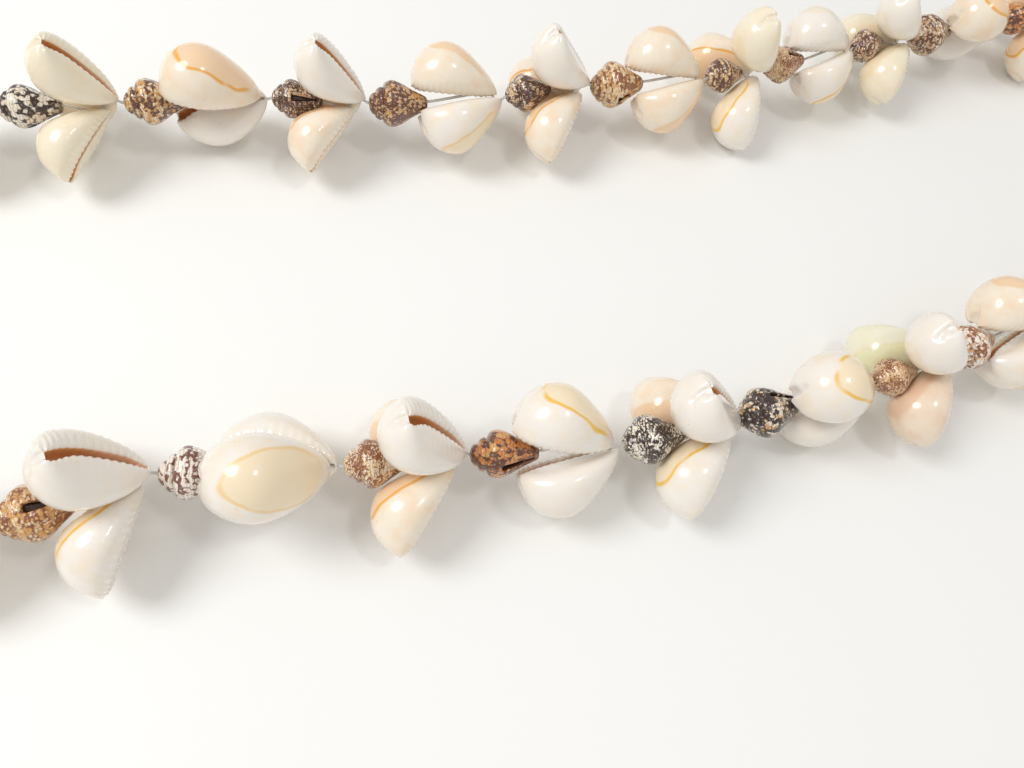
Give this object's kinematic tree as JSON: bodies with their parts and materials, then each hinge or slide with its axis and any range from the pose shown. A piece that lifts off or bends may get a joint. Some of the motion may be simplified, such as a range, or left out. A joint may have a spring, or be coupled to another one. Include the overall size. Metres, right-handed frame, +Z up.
{
  "type": "shell necklace",
  "caption": "Closed string of cowrie shells, by turns in threes and in twos, with a small dove shell before each cluster, laid flat as a long loop on a clear thread.",
  "frame": {"origin": "on the surface the necklace lies on, under the middle of its box", "axes": "+X along the long side of the loop, towards the knot; +Y across the loop; +Z up from the surface"},
  "size_m": [0.4055, 0.1332, 0.0333],
  "materials": {
    "cowrie_shell": "glossy shell",
    "dove_shell": "glossy patterned shell",
    "clear_thread": "clear thread"
  },
  "bodies": {
    "root": {"cowries": "cowrie_shell", "dove_shells": "dove_shell", "thread": "clear_thread"}
  },
  "joints": []
}
